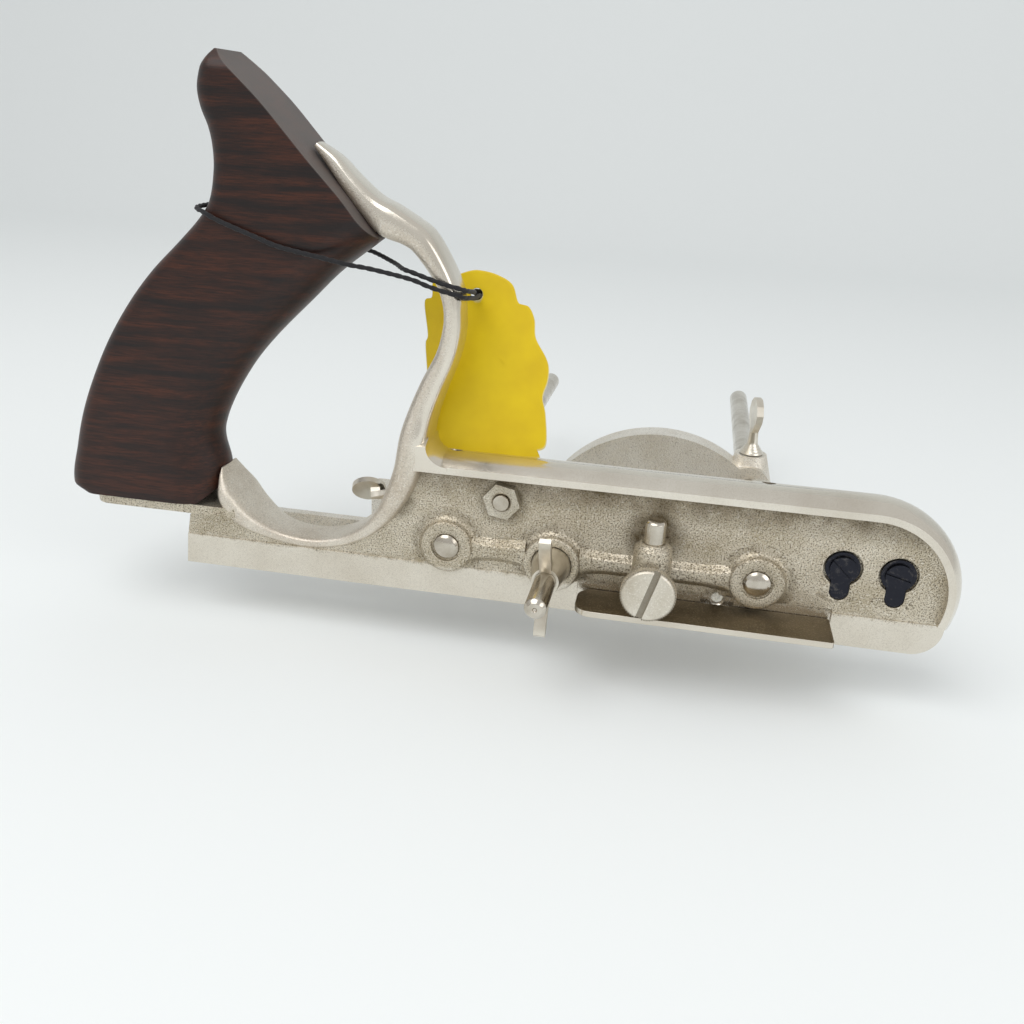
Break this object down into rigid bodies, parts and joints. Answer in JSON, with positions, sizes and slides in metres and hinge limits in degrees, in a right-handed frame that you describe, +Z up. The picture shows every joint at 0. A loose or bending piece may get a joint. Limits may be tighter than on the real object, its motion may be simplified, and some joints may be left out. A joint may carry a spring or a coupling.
{
  "type": "combination plane",
  "caption": "Hand plane with a nickel-plated stock whose loop holds a wooden handle, a sliding section and a fence on arms, a depth stop, spurs, and a tag on a string",
  "frame": {"origin": "on the sole of the skate, in the middle of its thickness, 117.5 mm ahead of the heel", "axes": "X runs along the skate towards the toe, Y to the left towards the fence, Z up"},
  "size_m": [0.2721, 0.2471, 0.1702],
  "materials": {
    "plated_casting": "worn nickel plate over a cast surface, warm grey with fine pits",
    "plated_steel": "worn nickel plate on turned steel",
    "blued_steel": "dark blued steel with fine scratches",
    "dark_rosewood": "polished dark rosewood with fine streaks",
    "yellow_card": "matt mustard-yellow card with frayed edges",
    "black_cord": "twisted black thread"
  },
  "bodies": {
    "stock": {"main_stock": "plated_casting", "handle_loop": "plated_casting", "wooden_handle": "dark_rosewood", "handle_screw": "plated_steel", "rear_arm": "plated_steel", "front_arm": "plated_steel", "arm_set_screws": "blued_steel", "lever_stud": "plated_steel", "lever_washer": "plated_steel", "lever_nut": "plated_steel", "rear_stored_spur": "blued_steel", "front_stored_spur": "blued_steel", "stored_spur_screws": "blued_steel", "tag": "yellow_card", "tag_string": "black_cord", "string_knot": "black_cord"},
    "depth_stop": {"depth_rod": "plated_steel", "depth_foot": "plated_steel"},
    "stop_screw": {"depth_screw": "plated_steel"},
    "clamp": {"clamp_bolt": "plated_steel"},
    "clamp_nut": {"wing_nut": "plated_casting"},
    "lever": {"adjusting_lever": "plated_steel"},
    "section": {"sliding_section": "plated_casting", "section_spur": "blued_steel", "section_spur_screw": "blued_steel"},
    "rear_section_screw": {"rear_section_thumbscrew": "plated_steel"},
    "front_section_screw": {"front_section_thumbscrew": "plated_steel"},
    "side_fence": {"fence": "plated_casting"},
    "rear_fence_screw": {"rear_fence_thumbscrew": "plated_steel"},
    "front_fence_screw": {"front_fence_thumbscrew": "plated_steel"}
  },
  "joints": [
    {"name": "depth_stop_slide", "type": "slide", "parent": "stock", "child": "depth_stop", "axis": [0, 0, 1], "range_m": [-0.0054, 0.0014]},
    {"name": "depth_screw_turn", "type": "hinge", "parent": "stock", "child": "stop_screw", "pos_m": [0.031, -0.018, 0.0167], "axis": [0, -1, 0], "range_deg": [0, 360]},
    {"name": "wing_nut_turn", "type": "hinge", "parent": "stock", "child": "clamp_nut", "pos_m": [0.0014, -0.01, 0.0154], "axis": [0, -1, 0], "range_deg": [0, 540]},
    {"name": "clamp_bolt_slide", "type": "slide", "parent": "stock", "child": "clamp", "axis": [0, 1, 0], "range_m": [0, 0.00191]},
    {"name": "lever_turn", "type": "hinge", "parent": "stock", "child": "lever", "pos_m": [-0.0146, 0.0127, 0.0336], "axis": [0, 1, 0], "range_deg": [-6, 6]},
    {"name": "section_slide", "type": "slide", "parent": "stock", "child": "section", "axis": [0, 1, 0], "range_m": [0, 0.025]},
    {"name": "rear_section_screw_turn", "type": "hinge", "parent": "section", "child": "rear_section_screw", "pos_m": [-0.031, 0.025, 0.03], "axis": [0, 0, 1], "range_deg": [0, 360]},
    {"name": "front_section_screw_turn", "type": "hinge", "parent": "section", "child": "front_section_screw", "pos_m": [0.0615, 0.025, 0.03], "axis": [0, 0, 1], "range_deg": [0, 360]},
    {"name": "fence_slide", "type": "slide", "parent": "stock", "child": "side_fence", "axis": [0, 1, 0], "range_m": [-0.02, 0.11]},
    {"name": "rear_fence_screw_turn", "type": "hinge", "parent": "side_fence", "child": "rear_fence_screw", "pos_m": [-0.031, 0.0869, 0.035], "axis": [0, 0, 1], "range_deg": [0, 360]},
    {"name": "front_fence_screw_turn", "type": "hinge", "parent": "side_fence", "child": "front_fence_screw", "pos_m": [0.0615, 0.0869, 0.035], "axis": [0, 0, 1], "range_deg": [0, 360]}
  ],
  "couplings": [
    {"joint": "wing_nut_turn", "follows": "clamp_bolt_slide", "rad_per_m": 4947.4}
  ]
}
